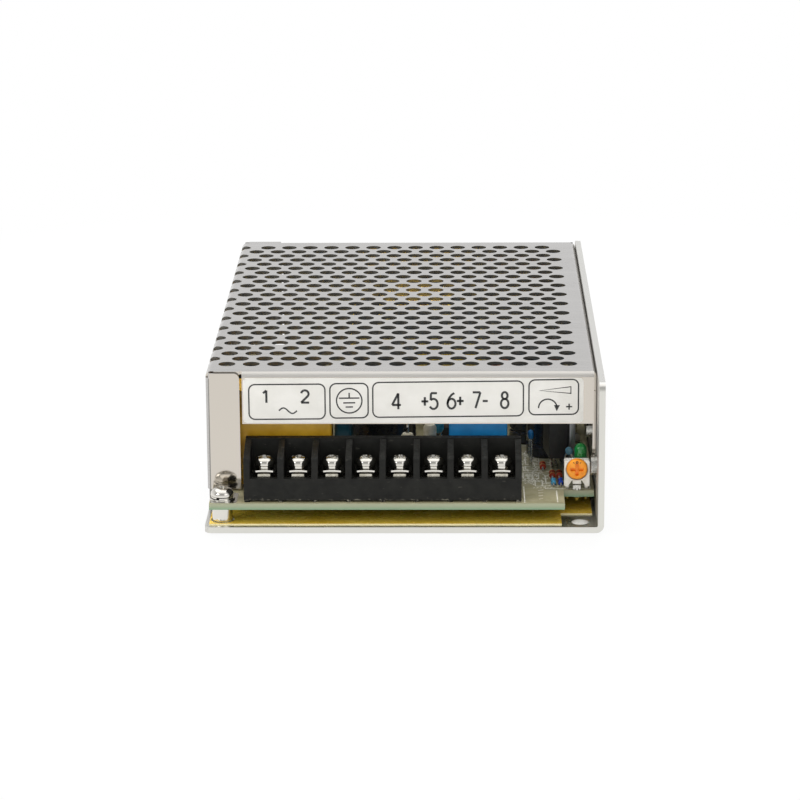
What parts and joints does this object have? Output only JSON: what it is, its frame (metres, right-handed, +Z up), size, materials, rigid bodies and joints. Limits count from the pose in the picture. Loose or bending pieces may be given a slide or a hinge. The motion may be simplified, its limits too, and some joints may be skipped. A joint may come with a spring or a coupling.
{
  "type": "buffered power supply",
  "caption": "Enclosed mains power supply with a battery-buffered output: folded metal chassis, perforated cover, screw terminal strip and an output adjuster at the open front.",
  "frame": {"origin": "centre of the chassis' underside", "axes": "+Z up from the bottom plate, -Y towards the open front with the terminal strip, +X towards the chassis' solid wall"},
  "size_m": [0.097, 0.159, 0.0375],
  "materials": {
    "bright_aluminium": "satin sheet",
    "plated_sheet": "bright plated",
    "plated_fastener": "bright plated",
    "label_film": "printed film",
    "amber_film": "clear film",
    "circuit_board": "bare laminate",
    "black_moulding": "moulded",
    "tinned_brass": "tinned",
    "white_moulding": "moulded",
    "tinned_wire": "tinned",
    "green_lens": "clear cast",
    "yellow_box": "moulded",
    "blue_coating": "dipped",
    "fuse_glass": "glazed",
    "ferrite": "sintered",
    "dark_moulding": "moulded",
    "black_package": "moulded",
    "sleeve_black": "shrunk sleeve",
    "yellow_tape": "wound tape",
    "grey_pad": "silicone",
    "coated_ring": "coated",
    "enamelled_wire": "enamelled",
    "relay_case": "moulded",
    "grey_aluminium": "sheared sheet",
    "tan_coating": "dipped",
    "red_coating": "dipped",
    "light_blue_coating": "dipped",
    "orange_moulding": "moulded"
  },
  "bodies": {
    "case": {"chassis": "bright_aluminium", "cover": "plated_sheet", "cover_screws": "plated_fastener", "clinch_nuts": "plated_fastener", "front_label": "label_film", "insulating_sheet": "amber_film", "board": "circuit_board", "board_pillars": "plated_fastener", "board_washers": "plated_fastener", "machine_screws": "plated_fastener", "terminal_block": "black_moulding", "terminal_plates": "tinned_brass", "trimmer_frame": "white_moulding", "trimmer_pins": "tinned_wire", "lamp_lens": "green_lens", "lamp_leads": "tinned_wire", "x_capacitor": "yellow_box", "varistor": "blue_coating", "y_capacitors": "blue_coating", "fuse": "fuse_glass", "line_choke_core": "ferrite", "line_choke_coils": "dark_moulding", "thermistor": "dark_moulding", "bridge_rectifier": "black_package", "bulk_capacitor": "sleeve_black", "transformer_core": "ferrite", "transformer_bobbin": "dark_moulding", "transformer_winding": "yellow_tape", "transformer_tape": "yellow_tape", "power_devices": "black_package", "insulating_pads": "grey_pad", "output_inductor_core": "coated_ring", "output_inductor_coil": "enamelled_wire", "output_capacitors": "sleeve_black", "relay": "relay_case", "regulator": "black_package", "heat_sink": "grey_aluminium", "control_circuit": "black_package", "optocoupler": "black_package", "upright_resistors": "tan_coating", "red_resistors": "red_coating", "blue_resistors": "light_blue_coating", "disc_capacitors": "blue_coating"},
    "adjuster": {"trimmer_rotor": "orange_moulding"},
    "clamp_1": {"terminal_washer_1": "plated_fastener"},
    "screw_1": {"terminal_screw_1": "plated_fastener"},
    "clamp_2": {"terminal_washer_2": "plated_fastener"},
    "screw_2": {"terminal_screw_2": "plated_fastener"},
    "clamp_3": {"terminal_washer_3": "plated_fastener"},
    "screw_3": {"terminal_screw_3": "plated_fastener"},
    "clamp_4": {"terminal_washer_4": "plated_fastener"},
    "screw_4": {"terminal_screw_4": "plated_fastener"},
    "clamp_5": {"terminal_washer_5": "plated_fastener"},
    "screw_5": {"terminal_screw_5": "plated_fastener"},
    "clamp_6": {"terminal_washer_6": "plated_fastener"},
    "screw_6": {"terminal_screw_6": "plated_fastener"},
    "clamp_7": {"terminal_washer_7": "plated_fastener"},
    "screw_7": {"terminal_screw_7": "plated_fastener"},
    "clamp_8": {"terminal_washer_8": "plated_fastener"},
    "screw_8": {"terminal_screw_8": "plated_fastener"}
  },
  "joints": [
    {"name": "adjuster_turn", "type": "hinge", "parent": "case", "child": "adjuster", "pos_m": [0.0423, -0.0669, 0.0124], "axis": [0, 1, 0], "range_deg": [-105, 105]},
    {"name": "clamp_1_lift", "type": "slide", "parent": "case", "child": "clamp_1", "axis": [0, 0, 1], "range_m": [-0.001, 0.002]},
    {"name": "screw_1_turn", "type": "hinge", "parent": "clamp_1", "child": "screw_1", "pos_m": [-0.03408, -0.0715, 0.016], "axis": [0, 0, 1], "range_deg": [-720, 1440]},
    {"name": "clamp_2_lift", "type": "slide", "parent": "case", "child": "clamp_2", "axis": [0, 0, 1], "range_m": [-0.001, 0.002]},
    {"name": "screw_2_turn", "type": "hinge", "parent": "clamp_2", "child": "screw_2", "pos_m": [-0.02583, -0.0715, 0.016], "axis": [0, 0, 1], "range_deg": [-720, 1440]},
    {"name": "clamp_3_lift", "type": "slide", "parent": "case", "child": "clamp_3", "axis": [0, 0, 1], "range_m": [-0.001, 0.002]},
    {"name": "screw_3_turn", "type": "hinge", "parent": "clamp_3", "child": "screw_3", "pos_m": [-0.01758, -0.0715, 0.016], "axis": [0, 0, 1], "range_deg": [-720, 1440]},
    {"name": "clamp_4_lift", "type": "slide", "parent": "case", "child": "clamp_4", "axis": [0, 0, 1], "range_m": [-0.001, 0.002]},
    {"name": "screw_4_turn", "type": "hinge", "parent": "clamp_4", "child": "screw_4", "pos_m": [-0.00932, -0.0715, 0.016], "axis": [0, 0, 1], "range_deg": [-720, 1440]},
    {"name": "clamp_5_lift", "type": "slide", "parent": "case", "child": "clamp_5", "axis": [0, 0, 1], "range_m": [-0.001, 0.002]},
    {"name": "screw_5_turn", "type": "hinge", "parent": "clamp_5", "child": "screw_5", "pos_m": [-0.00108, -0.0715, 0.016], "axis": [0, 0, 1], "range_deg": [-720, 1440]},
    {"name": "clamp_6_lift", "type": "slide", "parent": "case", "child": "clamp_6", "axis": [0, 0, 1], "range_m": [-0.001, 0.002]},
    {"name": "screw_6_turn", "type": "hinge", "parent": "clamp_6", "child": "screw_6", "pos_m": [0.00717, -0.0715, 0.016], "axis": [0, 0, 1], "range_deg": [-720, 1440]},
    {"name": "clamp_7_lift", "type": "slide", "parent": "case", "child": "clamp_7", "axis": [0, 0, 1], "range_m": [-0.001, 0.002]},
    {"name": "screw_7_turn", "type": "hinge", "parent": "clamp_7", "child": "screw_7", "pos_m": [0.01542, -0.0715, 0.016], "axis": [0, 0, 1], "range_deg": [-720, 1440]},
    {"name": "clamp_8_lift", "type": "slide", "parent": "case", "child": "clamp_8", "axis": [0, 0, 1], "range_m": [-0.001, 0.002]},
    {"name": "screw_8_turn", "type": "hinge", "parent": "clamp_8", "child": "screw_8", "pos_m": [0.02368, -0.0715, 0.016], "axis": [0, 0, 1], "range_deg": [-720, 1440]}
  ],
  "couplings": [
    {"joint": "screw_1_turn", "follows": "clamp_1_lift", "rad_per_m": 12566},
    {"joint": "screw_2_turn", "follows": "clamp_2_lift", "rad_per_m": 12566},
    {"joint": "screw_3_turn", "follows": "clamp_3_lift", "rad_per_m": 12566},
    {"joint": "screw_4_turn", "follows": "clamp_4_lift", "rad_per_m": 12566},
    {"joint": "screw_5_turn", "follows": "clamp_5_lift", "rad_per_m": 12566},
    {"joint": "screw_6_turn", "follows": "clamp_6_lift", "rad_per_m": 12566},
    {"joint": "screw_7_turn", "follows": "clamp_7_lift", "rad_per_m": 12566},
    {"joint": "screw_8_turn", "follows": "clamp_8_lift", "rad_per_m": 12566}
  ]
}
